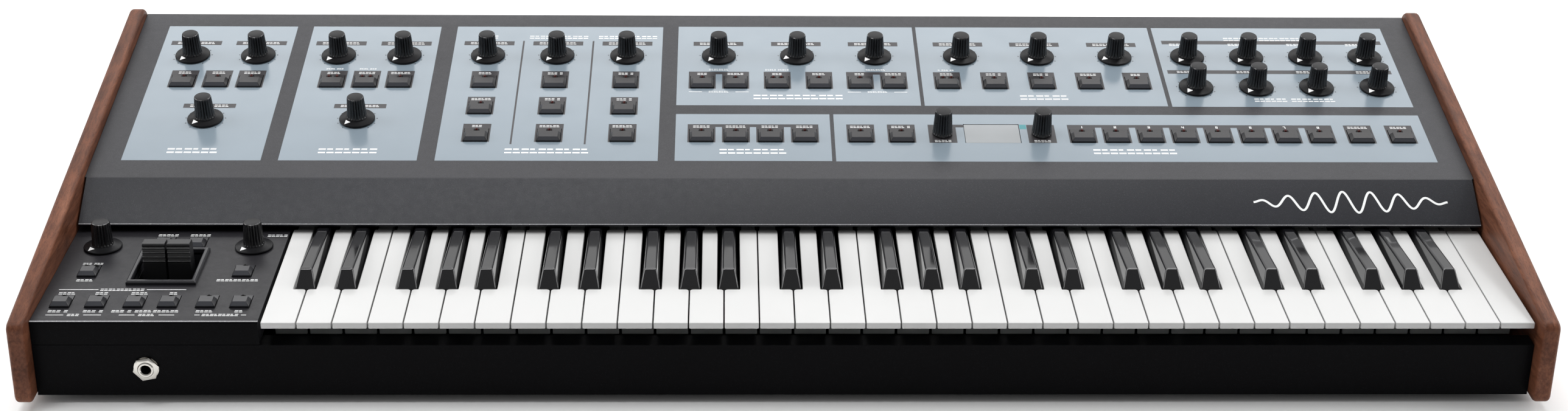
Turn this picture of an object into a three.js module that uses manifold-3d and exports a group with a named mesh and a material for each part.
// A five-octave analogue synthesizer: folded steel case, wooden cheeks, keys, knobs, buttons and
// two performance levers. Millimetres, +Z up.
//
// Everything is laid out from the keyboard: X = 0 is midway along the keys, Y = 0 is the front edge
// of the white keys with the player on the -Y side, and Z = 0 is their top. The exported group then
// moves that layout so that the origin is the centre of the base.

import * as THREE from "three";
import { mergeVertices } from "three/addons/utils/BufferGeometryUtils.js";
import Module from "manifold-3d";

const wasm = await Module();
wasm.setup();

// ---------------------------------------------------------------- driving dimensions

const SHEET = 1.5; // case steel
const GAP = 0.3; // between pieces that touch

const WHITE_PITCH = 23.5;
const WHITE_KEYS = 36;
const KEY_GAP = 0.9;
const WHITE_LENGTH = 142; // the part of a white key that shows
const WHITE_PLATE = 4.4;
const BLACK_FRONT = 50;
const BLACK_HEIGHT = 11;
const BLACK_BASE_WIDTH = 13.7;
const BLACK_TOP_WIDTH = 8.3;
const BLACK_TOP_FALL = 0.09; // the top falls towards the rear, to pass under the fascia
const KEY_HINGE = { y: 188, z: -10.5 };

const CASE_LEFT = -574.2; // inner face of the left cheek
const CASE_RIGHT = 424.5;
const CASE_BOTTOM = -54.5;
const CHEEK_THICKNESS = 11.4;
const CHEEK_FRONT = -13.7;
const CHEEK_BACK = 406;
const CHEEK_FRONT_TOP = 5.45;
const CHEEK_SLOPE = 0.16;

const RAIL_FRONT = 0.5;
const RAIL_TOP = -16.85;
const REAR_WALL = { y: 400.3, top: 62 };
const FOOT = { radius: 11, height: 6, inset: 45, front: 30, back: 375 };

const FOLD = { y: 170.6, z: 27.4 }; // where the sloping panel folds down into the fascia
const PANEL_SLOPE = THREE.MathUtils.degToRad(9.19);
const PANEL_LENGTH = 235.2;
const LIP = { y: 136.1, z: 6.3 }; // lower front edge of the fascia
const FASCIA_INSET = 1.2;

const LEVER_BOX = { right: -424.5, top: 0.5, back: 165 };
const LEVER_BEZEL = { x0: -522.2, x1: -474.8, y0: 53.5, y1: 107, rim: 3.4, height: 3.1 };
const LEVER = { width: 15.5, gap: 1.4, pivotY: 83, pivotZ: -22, top: 20, hub: 9 };
const JACK = { x: -500.3, z: -34.3, nut: 15.5, barrel: 4.6, bore: 3.25, depth: 20 };
const INLET = { x: 300, z: -8, width: 27, height: 20, flange: 48, recess: [22, 14.5, 15] };

const KNOB = { shaft: 3, skirt: 13.2, base: 7.6, top: 6.5, height: 20, below: 12 };
// Caps, from their front to their back edge about the button's place; the front part stands raised.
const CAP = { width: 17.5, front: -12.2, back: 5.4, raised: 11, height: 3.5, bevel: 1.7 };
const SMALL_CAP = { width: 12.8, front: -8.7, back: 8.9, raised: 11, height: 4, bevel: 1.8 };
const CAP_BELOW = 7; // how far a cap reaches down through its sheet
const CAP_LEDGE = 0.4; // height of the low ledge behind the raised part
const DISPLAY = { x0: 60.2, x1: 101, v0: 47.8, v1: 73 };

// ---------------------------------------------------------------- finishes

const finish = (color, roughness, metalness = 0) =>
  new THREE.MeshStandardMaterial({ color, roughness, metalness });

const FINISH = {
  caseBlack: () => finish(0x17171a, 0.55),
  panelGrey: () => finish(0x505054, 0.5),
  walnut: () => finish(0x6b4a3a, 0.45),
  ivory: () => finish(0xf4f4f4, 0.25),
  ebony: () => finish(0x0c0c0e, 0.15),
  knobBlack: () => finish(0x141416, 0.35),
  buttonGrey: () => finish(0x2a2a2e, 0.4),
  glass: () => finish(0x6f7a82, 0.1),
  nickel: () => finish(0xc8c8cc, 0.25, 1),
  rubber: () => finish(0x101010, 0.9),
  board: () => finish(0x1f5a36, 0.6),
};

// ---------------------------------------------------------------- solids

const { Matrix4, Vector3 } = THREE;
const SIDE_VIEW = new Matrix4().makeBasis(
  new Vector3(0, 1, 0),
  new Vector3(0, 0, 1),
  new Vector3(1, 0, 0),
);
const FRONT_VIEW = new Matrix4().makeBasis(
  new Vector3(1, 0, 0),
  new Vector3(0, 0, 1),
  new Vector3(0, -1, 0),
);

function solid(geometry) {
  const bare = geometry.clone();
  bare.deleteAttribute("normal");
  bare.deleteAttribute("uv");
  const merged = mergeVertices(bare, 1e-4);
  const index = merged.index.array;
  const corners = [];
  for (let i = 0; i < index.length; i += 3) {
    const [a, b, c] = [index[i], index[i + 1], index[i + 2]];
    if (a !== b && b !== c && c !== a) corners.push(a, b, c);
  }
  return new wasm.Manifold(
    new wasm.Mesh({
      numProp: 3,
      vertProperties: new Float32Array(merged.attributes.position.array),
      triVerts: new Uint32Array(corners),
    }),
  );
}

function geometryOf(shape) {
  const mesh = shape.getMesh();
  const geometry = new THREE.BufferGeometry();
  geometry.setAttribute("position", new THREE.BufferAttribute(mesh.vertProperties, 3));
  geometry.setIndex(new THREE.BufferAttribute(mesh.triVerts, 1));
  geometry.computeVertexNormals();
  return geometry;
}

const joined = (shapes) => shapes.reduce((all, one) => all.add(one));
const without = (shape, cuts) => (cuts.length ? shape.subtract(joined(cuts)) : shape);

function box([x0, x1], [y0, y1], [z0, z1]) {
  const geometry = new THREE.BoxGeometry(x1 - x0, y1 - y0, z1 - z0);
  return solid(geometry.translate((x0 + x1) / 2, (y0 + y1) / 2, (z0 + z1) / 2));
}

const outline = (points) => new THREE.Shape(points.map(([a, b]) => new THREE.Vector2(a, b)));

function slab(points, from, to, view = new Matrix4()) {
  const depth = to - from;
  const geometry = new THREE.ExtrudeGeometry(outline(points), { depth, bevelEnabled: false });
  return solid(geometry.translate(0, 0, from).applyMatrix4(view));
}

// A (y, z) outline carried along X, and an (x, z) outline carried along Y.
const alongX = (points, [x0, x1]) => slab(points, x0, x1, SIDE_VIEW);
const alongY = (points, [y0, y1]) => slab(points, -y1, -y0, FRONT_VIEW);

// A (radius, height) profile turned about Z.
function turned(profile, sides) {
  const points = profile.map(([r, h]) => new THREE.Vector2(r, h));
  return solid(new THREE.LatheGeometry(points, sides).rotateX(Math.PI / 2));
}

const rod = (radius, [z0, z1], sides) =>
  turned([[0, z0], [radius, z0], [radius, z1], [0, z1]], sides);

// The same shape leaning: each point drops by `fall` for each millimetre behind y0.
function sheared(shape, fall, y0) {
  const lean = new Matrix4().set(1, 0, 0, 0, 0, 1, 0, 0, 0, -fall, 1, fall * y0, 0, 0, 0, 1);
  return solid(geometryOf(shape).applyMatrix4(lean));
}

function moved(shape, x, y, z = 0) {
  return shape.translate([x, y, z]);
}

// ---------------------------------------------------------------- scene graph

const instrument = new THREE.Group();
const panel = new THREE.Group();
panel.rotation.x = PANEL_SLOPE;
panel.position.set(0, FOLD.y, FOLD.z);
instrument.add(panel);

function place(name, shape, material, parent = instrument, at = [0, 0, 0]) {
  const mesh = new THREE.Mesh(geometryOf(shape), material);
  mesh.name = name;
  mesh.position.set(...at);
  parent.add(mesh);
}

// Panel coordinates of a layout point: v runs up the slope from the fold, w stands out of it.
function onPanel(y, z) {
  const [dy, dz] = [y - FOLD.y, z - FOLD.z];
  const [c, s] = [Math.cos(PANEL_SLOPE), Math.sin(PANEL_SLOPE)];
  return [dy * c + dz * s, dz * c - dy * s];
}

// ---------------------------------------------------------------- where the controls are

const LEFT_GROUPS = [
  { name: "master", knobs: [[-527, 169.5], [-476.8, 169.5], [-501.7, 78.2]] },
  { name: "control", knobs: [[-415, 169.5], [-364.5, 169.5], [-389.7, 78.2]] },
];
const TOP_ROW_V = 170.3;
const MODULATION_X = [-300.2, -246.7, -192.8];
const OSCILLATOR_X = [-121.9, -61.4, -1.4];
const FILTER_X = [65.1, 125.1, 185.5];
const ENVELOPE_X = [242.2, 288.4, 334.6, 381];
const ENVELOPE_ROWS = { filter: 170.6, amplifier: 125.7 };
const ENCODER_ROW = [[43.7, 60.2], [117.2, 60.2]];
const LEVER_BOX_KNOBS = [[-550.3, 111.9], [-445.6, 112.4]];

const UPPER_BUTTONS_V = 135.5;
const MIDDLE_BUTTONS_V = 98.1;
const LOWER_BUTTONS_V = 60.3;
const MASTER_BUTTONS = [-528.2, -502.6, -477.3];
const CONTROL_BUTTONS = [-415.4, -390.1, -364.5];
const OSCILLATOR_BUTTONS = [-134.5, -109, -77.2, -45.3, -14, 11.8];
const FILTER_BUTTONS = [52.8, 89, 125.4, 161.9, 198.4];
const KEYBOARD_BUTTONS = [-134.4, -109, -83.7, -58.1];
const PROGRAM_BUTTONS = Array.from({ length: 8 }, (_, i) => 147.5 + i * 25.3);
const PROGRAMMER_BUTTONS = [-16.8, 13.4, ...PROGRAM_BUTTONS, 354.1, 384.7];
const LEVER_BOX_ROW_Y = 29.1;
const LEVER_BOX_ROW = [-559, -535.9, -510.5, -487.9, -462.6, -439.9];
const LEVER_BOX_SINGLES = [[-551.4, 74.3], [-486.4, 118.8], [-446.4, 74.7], [-509.3, 118.8]];

const rowAt = (v, xs) => xs.map((x) => [x, v]);
const panelButtons = [
  ...rowAt(UPPER_BUTTONS_V, [...MASTER_BUTTONS, ...CONTROL_BUTTONS, ...MODULATION_X]),
  ...rowAt(UPPER_BUTTONS_V, [...OSCILLATOR_BUTTONS, ...FILTER_BUTTONS]),
  ...rowAt(MIDDLE_BUTTONS_V, MODULATION_X),
  ...rowAt(LOWER_BUTTONS_V, [...MODULATION_X, ...KEYBOARD_BUTTONS, ...PROGRAMMER_BUTTONS]),
];

// ---------------------------------------------------------------- knobs

function knobShape(skirted) {
  const { shaft, skirt, base, top, height, below } = KNOB;
  const lower = skirted ? [[skirt, 0.5], [skirt, 1.6], [base, 2.8]] : [[base, 0.8]];
  const foot = [[0, -below], [shaft, -below], [shaft, lower[0][1]]];
  return turned([...foot, ...lower, [top, height], [0, height]], 10);
}
const SKIRTED = knobShape(true);
const PLAIN = knobShape(false);

const panelKnobs = [];
function panelKnob(name, [x, v], shape = SKIRTED) {
  panelKnobs.push([x, v]);
  place(name, shape, FINISH.knobBlack(), panel, [x, v, 0]);
}

for (const { name, knobs } of LEFT_GROUPS)
  ["left", "right", "lower"].forEach((where, i) => panelKnob(`${name}_knob_${where}`, knobs[i]));
MODULATION_X.forEach((x, i) => panelKnob(`modulation_knob_${i + 1}`, [x, TOP_ROW_V]));
OSCILLATOR_X.forEach((x, i) => panelKnob(`oscillator_knob_${i + 1}`, [x, TOP_ROW_V]));
FILTER_X.forEach((x, i) => panelKnob(`filter_knob_${i + 1}`, [x, TOP_ROW_V]));
for (const [name, v] of Object.entries(ENVELOPE_ROWS))
  ["attack", "decay", "sustain", "release"].forEach((stage, i) =>
    panelKnob(`${name}_${stage}_knob`, [ENVELOPE_X[i], v]),
  );
["encoder_left", "encoder_right"].forEach((name, i) => panelKnob(name, ENCODER_ROW[i], PLAIN));
["lever_box_knob_left", "lever_box_knob_right"].forEach((name, i) =>
  place(name, SKIRTED, FINISH.knobBlack(), instrument, [...LEVER_BOX_KNOBS[i], LEVER_BOX.top]),
);

// ---------------------------------------------------------------- buttons

// A cap with a bevelled, raised front part and a low ledge behind it.
function capShape({ width, front, back, raised, height, bevel }) {
  const [w, d] = [width / 2 - bevel, raised / 2 - bevel];
  const geometry = new THREE.ExtrudeGeometry(outline([[-w, -d], [w, -d], [w, d], [-w, d]]), {
    depth: height + CAP_BELOW - 2 * bevel,
    bevelEnabled: true,
    bevelSize: bevel,
    bevelThickness: bevel,
    bevelSegments: 1,
  });
  const block = solid(geometry.translate(0, front + raised / 2, bevel - CAP_BELOW));
  const halfWidth = [-width / 2, width / 2];
  const ledge = box(halfWidth, [front + raised - 2 * bevel, back], [-CAP_BELOW, CAP_LEDGE]);
  return joined([block, ledge]);
}
const PANEL_CAP = capShape(CAP);
const LEVER_BOX_CAP = capShape(SMALL_CAP);

// Caps that one hidden carrier strip joins under the sheet: the strip runs along the caps' fronts.
const STRIP = { below: 6.5, thickness: 2.2, reach: 4 };
function strip(x0, x1, y0, y1) {
  return box([x0, x1], [y0, y1], [-STRIP.below, STRIP.thickness - STRIP.below]);
}
function stripAlong(xs, v, cap) {
  const front = v + cap.front;
  return strip(Math.min(...xs), Math.max(...xs), front - STRIP.reach, front + STRIP.reach);
}
function bank(name, caps, strips, cap = PANEL_CAP, parent = panel, at = [0, 0, 0]) {
  const shapes = caps.map(([x, y]) => moved(cap, x, y));
  place(name, joined([...shapes, ...strips]), FINISH.buttonGrey(), parent, at);
}

const upperBank = (name, xs) =>
  bank(name, rowAt(UPPER_BUTTONS_V, xs), [stripAlong(xs, UPPER_BUTTONS_V, CAP)]);
upperBank("master_buttons", MASTER_BUTTONS);
upperBank("control_buttons", CONTROL_BUTTONS);
upperBank("oscillator_buttons", OSCILLATOR_BUTTONS);
upperBank("filter_buttons", FILTER_BUTTONS);

const modulationRows = [UPPER_BUTTONS_V, MIDDLE_BUTTONS_V, LOWER_BUTTONS_V];
const modulationLink = (MODULATION_X[0] + MODULATION_X[1]) / 2;
bank(
  "modulation_buttons",
  modulationRows.flatMap((v) => rowAt(v, MODULATION_X)),
  [
    ...modulationRows.map((v) => stripAlong(MODULATION_X, v, CAP)),
    strip(modulationLink - 4, modulationLink + 4, LOWER_BUTTONS_V - 10, UPPER_BUTTONS_V - 8),
  ],
);
const lowerRow = [...KEYBOARD_BUTTONS, ...PROGRAMMER_BUTTONS];
bank("programmer_buttons", rowAt(LOWER_BUTTONS_V, lowerRow), [
  stripAlong(lowerRow, LOWER_BUTTONS_V, CAP),
]);

// In the lever box the strip passes in front of the levers, with an arm up each side.
const leverBoxCaps = [...rowAt(LEVER_BOX_ROW_Y, LEVER_BOX_ROW), ...LEVER_BOX_SINGLES];
const [leftSingle, backSingle, rightSingle, farSingle] = LEVER_BOX_SINGLES;
const backArmY = backSingle[1] + 1;
bank(
  "lever_box_buttons",
  leverBoxCaps,
  [
    stripAlong(LEVER_BOX_ROW, LEVER_BOX_ROW_Y, SMALL_CAP),
    strip(leftSingle[0] - 3, leftSingle[0] + 3, LEVER_BOX_ROW_Y - 10, leftSingle[1]),
    strip(rightSingle[0] - 12, rightSingle[0] - 4, LEVER_BOX_ROW_Y - 10, backArmY),
    strip(rightSingle[0] - 8, rightSingle[0], rightSingle[1] - 3, rightSingle[1] + 3),
    strip(farSingle[0], rightSingle[0] - 4, backArmY - 3, backArmY + 3),
  ],
  LEVER_BOX_CAP,
  instrument,
  [0, 0, LEVER_BOX.top],
);

// ---------------------------------------------------------------- keys

const whiteLeft = (i) => (i - WHITE_KEYS / 2) * WHITE_PITCH;
// Each octave's black keys by the white key on their left, and how far each stands off that join.
const BLACK_OFFSET = new Map([[0, -1.4], [1, 2.7], [3, -3.1], [4, 0.4], [5, 3.1]]);

function blackX(join) {
  const offset = BLACK_OFFSET.get((join - 1) % 7);
  return offset === undefined || join < 1 || join >= WHITE_KEYS ? null : whiteLeft(join) + offset;
}

const KEY_SPINE = { y0: 180, y1: 194, height: 6 };
const WHITE_STEM = { bottom: -9, top: -3, front: 130, inset: 1.2 };
const WHITE_LEG = { y0: 44.3, y1: 48.2, bottom: -32 };
const BLACK_STEM = { bottom: -16.5, top: -10.8, front: 62, half: 4 };

function whiteKey(i) {
  const [x0, x1] = [whiteLeft(i) + KEY_GAP / 2, whiteLeft(i + 1) - KEY_GAP / 2];
  const beside = BLACK_BASE_WIDTH / 2 + KEY_GAP;
  const [leftBlack, rightBlack] = [blackX(i), blackX(i + 1)];
  const rear0 = leftBlack === null ? x0 : leftBlack + beside;
  const rear1 = rightBlack === null ? x1 : rightBlack - beside;
  const notch = BLACK_FRONT - KEY_GAP;
  const plan = [[x0, 0], [x1, 0]];
  if (rightBlack !== null) plan.push([x1, notch], [rear1, notch]);
  plan.push([rear1, WHITE_LENGTH], [rear0, WHITE_LENGTH]);
  if (leftBlack !== null) plan.push([rear0, notch], [x0, notch]);
  const { inset } = WHITE_STEM;
  const stem = [rear0 + inset, rear1 - inset];
  return {
    stem,
    shape: joined([
      slab(plan, -WHITE_PLATE, 0),
      box(stem, [WHITE_STEM.front, KEY_SPINE.y1 - 1], [WHITE_STEM.bottom, WHITE_STEM.top]),
      box([x0 + 1, x1 - 1], [WHITE_LEG.y0, WHITE_LEG.y1], [WHITE_LEG.bottom, -WHITE_PLATE / 2]),
    ]),
  };
}

function blackKey(x) {
  const [base, top, foot] = [BLACK_BASE_WIDTH / 2, BLACK_TOP_WIDTH / 2, -12];
  const front = BLACK_FRONT;
  const topFront = front + 8.8;
  const side = [[front, foot], [WHITE_LENGTH, foot], [WHITE_LENGTH, BLACK_HEIGHT]];
  side.push([topFront, BLACK_HEIGHT], [front + 2.6, 3.5], [front, -1]);
  const end = [[-base, foot], [base, foot], [base, 0], [top, BLACK_HEIGHT]];
  end.push([-top, BLACK_HEIGHT], [-base, 0]);
  const wedge = alongX(side, [-base, base]).intersect(alongY(end, [front, WHITE_LENGTH]));
  const above = box([-base, base], [front, WHITE_LENGTH], [foot, BLACK_HEIGHT + 1]);
  const body = sheared(wedge, BLACK_TOP_FALL, topFront).intersect(above);
  const { half, front: y0, bottom, top: stemTop } = BLACK_STEM;
  return moved(body.add(box([-half, half], [y0, KEY_SPINE.y1 - 1], [bottom, stemTop])), x, 0);
}

// Each octave's white keys share one rear spine, and so do its black keys, under the white ones.
const OCTAVES = 5;
for (let octave = 0; octave < OCTAVES; octave++) {
  const first = octave * 7;
  const last = octave === OCTAVES - 1 ? WHITE_KEYS : first + 7;
  const whites = [];
  const blacks = [];
  for (let i = first; i < last; i++) {
    whites.push(whiteKey(i));
    if (blackX(i + 1) !== null) blacks.push(blackX(i + 1));
  }
  const { y0, y1, height } = KEY_SPINE;
  const span = [whites[0].stem[0], whites.at(-1).stem[1]];
  const whiteSpine = box(span, [y0, y1], [WHITE_STEM.bottom, WHITE_STEM.bottom + height]);
  const whiteComb = joined([...whites.map((key) => key.shape), whiteSpine]);
  place(`white_keys_octave_${octave + 1}`, whiteComb, FINISH.ivory());
  const blackSpan = [blacks[0] - BLACK_STEM.half, blacks.at(-1) + BLACK_STEM.half];
  const blackSpine = box(blackSpan, [y0, y1], [BLACK_STEM.top - height - 1, BLACK_STEM.top]);
  const blackComb = joined([...blacks.map(blackKey), blackSpine]);
  place(`black_keys_octave_${octave + 1}`, blackComb, FINISH.ebony());
}

// ---------------------------------------------------------------- levers

function leverShape(x0) {
  const { width, pivotY: y, pivotZ: z, top, hub } = LEVER;
  const profile = [[y - 8, z + 4], [y + 8, z + 4], [y + 5, top - 1], [y + 3.5, top], [y - 5, top]];
  const paddle = alongX(profile, [x0, x0 + width]);
  const axle = new THREE.CylinderGeometry(hub, hub, width, 12).rotateZ(Math.PI / 2);
  return paddle.add(solid(axle.translate(x0 + width / 2, y, z)));
}
const leverMiddle = (LEVER_BEZEL.x0 + LEVER_BEZEL.x1) / 2;
place("pitch_lever", leverShape(leverMiddle - LEVER.gap / 2 - LEVER.width), FINISH.knobBlack());
place("modulation_lever", leverShape(leverMiddle + LEVER.gap / 2), FINISH.knobBlack());

// ---------------------------------------------------------------- lever box

const caseWidth = [CASE_LEFT + GAP, CASE_RIGHT - GAP];
const CAP_SLACK = 0.4; // between a cap and the edge of its hole
const capHole = (cap, x, y, depth) => {
  const w = cap.width / 2 + CAP_SLACK;
  const reach = [y + cap.front - CAP_SLACK, y + cap.back + CAP_SLACK];
  return box([x - w, x + w], reach, [-depth, depth]);
};
const shaftHole = (x, y, depth) => moved(rod(KNOB.shaft + 1, [-depth, depth], 8), x, y);
const CUT = 5; // how far a cutting tool reaches past the sheet

function leverBox() {
  const { right, top, back } = LEVER_BOX;
  const bottom = RAIL_TOP + GAP;
  const [front, inner] = [RAIL_FRONT, RAIL_FRONT + SHEET];
  const width = [caseWidth[0], right];
  const fold = [[front, bottom], [inner, bottom], [inner, top - SHEET], [back, top - SHEET]];
  fold.push([back, top], [front, top]);
  const { x0, x1, y0, y1, rim, height } = LEVER_BEZEL;
  const bezel = box([x0, x1], [y0, y1], [top - SHEET, top + height]);
  const slot = box([x0 + rim, x1 - rim], [y0 + rim, y1 - rim], [top - CUT, top + CUT + height]);
  const caps = leverBoxCaps.map(([x, y]) => moved(capHole(SMALL_CAP, x, y, CUT), 0, 0, top));
  const shafts = LEVER_BOX_KNOBS.map(([x, y]) => moved(shaftHole(x, y, CUT), 0, 0, top));
  const sideWall = box([right - SHEET, right], [front, back], [bottom, top]);
  return without(joined([alongX(fold, width), sideWall, bezel]), [slot, ...caps, ...shafts]);
}
place("lever_box", leverBox(), FINISH.panelGrey());

// ---------------------------------------------------------------- case

function cheek([x0, x1]) {
  const edge = 2.5;
  const topAt = (y) => CHEEK_FRONT_TOP + (y - CHEEK_FRONT) * CHEEK_SLOPE - edge;
  const [front, back] = [CHEEK_FRONT + edge, CHEEK_BACK - edge];
  const bottom = CASE_BOTTOM + edge;
  const [frontRadius, backRadius] = [5, 12];
  const shape = new THREE.Shape();
  shape.moveTo(front, bottom + frontRadius);
  shape.lineTo(front, topAt(front) - frontRadius);
  shape.quadraticCurveTo(front, topAt(front), front + frontRadius, topAt(front + frontRadius));
  shape.lineTo(back - backRadius, topAt(back - backRadius));
  shape.quadraticCurveTo(back, topAt(back), back, topAt(back) - backRadius);
  shape.lineTo(back, bottom);
  shape.lineTo(front + frontRadius, bottom);
  shape.quadraticCurveTo(front, bottom, front, bottom + frontRadius);
  const geometry = new THREE.ExtrudeGeometry(shape, {
    depth: x1 - x0 - 2 * edge,
    curveSegments: 4,
    bevelSize: edge,
    bevelThickness: edge,
    bevelSegments: 2,
  });
  return solid(geometry.translate(0, 0, x0 + edge).applyMatrix4(SIDE_VIEW));
}
place("left_cheek", cheek([CASE_LEFT - CHEEK_THICKNESS, CASE_LEFT]), FINISH.walnut());
place("right_cheek", cheek([CASE_RIGHT, CASE_RIGHT + CHEEK_THICKNESS]), FINISH.walnut());

// Lines along the Y axis, for what passes through the front rail or the rear wall.
const acrossCase = (shape, x, y, z) => moved(shape.rotate([90, 0, 0]), x, y, z);

function caseBottom() {
  const [front, back] = [RAIL_FRONT, REAR_WALL.y];
  const [low, floor] = [CASE_BOTTOM, CASE_BOTTOM + SHEET];
  const shelf = front + 14;
  const fold = [[front, low], [back, low], [back, REAR_WALL.top], [back - SHEET, REAR_WALL.top]];
  fold.push([back - SHEET, floor], [front + SHEET, floor], [front + SHEET, RAIL_TOP - SHEET]);
  fold.push([shelf, RAIL_TOP - SHEET], [shelf, RAIL_TOP], [front, RAIL_TOP]);
  const jackHole = acrossCase(rod(JACK.barrel + GAP, [-CUT, CUT], 12), JACK.x, front, JACK.z);
  const [w, h] = [INLET.width / 2 + GAP, INLET.height / 2 + GAP];
  const inletHole = box(
    [INLET.x - w, INLET.x + w],
    [back - CUT, back + CUT],
    [INLET.z - h, INLET.z + h],
  );
  return without(alongX(fold, caseWidth), [jackHole, inletHole]);
}
place("case_bottom", caseBottom(), FINISH.caseBlack());

function topPanel() {
  const [lipV, lipW] = onPanel(LIP.y, LIP.z);
  const length = Math.hypot(lipV, lipW);
  const [inV, inW] = [(-lipW / length) * SHEET, (lipV / length) * SHEET];
  const flange = 8;
  const sheet = [[0, 0], [lipV, lipW], [lipV - inV, lipW + inW], [0, -SHEET]];
  sheet.push([PANEL_LENGTH - SHEET, -SHEET], [PANEL_LENGTH - SHEET, -flange]);
  sheet.push([PANEL_LENGTH, -flange], [PANEL_LENGTH, 0]);
  const ends = [caseWidth[0], caseWidth[1] - FASCIA_INSET].map((x) =>
    box([x - 1, x + FASCIA_INSET + 1], [lipV - CUT, -CUT], [lipW - CUT, CUT]),
  );
  const caps = panelButtons.map(([x, v]) => capHole(CAP, x, v, CUT));
  const shafts = panelKnobs.map(([x, v]) => shaftHole(x, v, CUT));
  const { x0, x1, v0, v1 } = DISPLAY;
  const display = box([x0 - GAP, x1 + GAP], [v0 - GAP, v1 + GAP], [-CUT, CUT]);
  return without(alongX(sheet, caseWidth), [...ends, ...caps, ...shafts, display]);
}
place("top_panel", topPanel(), FINISH.panelGrey(), panel);

const pane = box([DISPLAY.x0, DISPLAY.x1], [DISPLAY.v0, DISPLAY.v1], [-SHEET, -0.2]);
place("display_window", pane, FINISH.glass(), panel);

const BOARD = { v0: 12, v1: 224, top: -18, thickness: 1.6, inset: 12 };
const boardWidth = [CASE_LEFT + BOARD.inset, CASE_RIGHT - BOARD.inset];
const board = box(boardWidth, [BOARD.v0, BOARD.v1], [BOARD.top - BOARD.thickness, BOARD.top]);
place("control_board", board, FINISH.board(), panel);

// The key bed is a raised channel that stands on the case floor.
function keyBed() {
  const [y0, y1, top] = [10, 205, -42];
  const floor = CASE_BOTTOM + SHEET + GAP;
  const channel = [[y0, floor], [y0 + SHEET, floor], [y0 + SHEET, top - SHEET]];
  channel.push([y1 - SHEET, top - SHEET], [y1 - SHEET, floor], [y1, floor], [y1, top], [y0, top]);
  return alongX(channel, [whiteLeft(0), whiteLeft(WHITE_KEYS)]);
}
place("key_bed", keyBed(), FINISH.caseBlack());

// ---------------------------------------------------------------- sockets and feet

function headphoneJack() {
  const nut = rod(JACK.nut / 2 / Math.cos(Math.PI / 6), [0, 2.4], 6);
  const { barrel, bore, depth } = JACK;
  const body = rod(barrel, [-depth - 2, 1], 12).add(rod(6.5, [-depth - 2, -SHEET - 2 * GAP], 12));
  const socket = rod(bore, [-depth, CUT], 12);
  return nut.add(body).subtract(socket);
}
const jackFace = RAIL_FRONT - GAP;
place("headphone_jack", acrossCase(headphoneJack(), JACK.x, jackFace, JACK.z), FINISH.nickel());

function powerInlet() {
  const { x, z, width, height, flange, recess } = INLET;
  const face = REAR_WALL.y + GAP;
  const around = (w, h, y) => box([x - w / 2, x + w / 2], y, [z - h / 2, z + h / 2]);
  const body = around(width, height, [face - 22, face + 1]);
  const plate = around(flange, height + 3, [face, face + 2]);
  return body.add(plate).subtract(around(recess[0], recess[1], [face + 2 - recess[2], face + CUT]));
}
place("power_inlet", powerInlet(), FINISH.rubber());

const foot = rod(FOOT.radius, [-FOOT.height, -GAP], 16);
for (const [side, x] of [["left", CASE_LEFT + FOOT.inset], ["right", CASE_RIGHT - FOOT.inset]])
  for (const [end, y] of [["front", FOOT.front], ["back", FOOT.back]])
    place(`foot_${end}_${side}`, moved(foot, x, y, CASE_BOTTOM), FINISH.rubber());

// The part's origin is the centre of the base: midway across the cheeks and the depth, at the feet.
instrument.position.set(
  -(CASE_LEFT + CASE_RIGHT) / 2,
  -(CHEEK_FRONT + CHEEK_BACK) / 2,
  FOOT.height - CASE_BOTTOM,
);

const synthesizer = new THREE.Group();
synthesizer.add(instrument);

export default synthesizer;
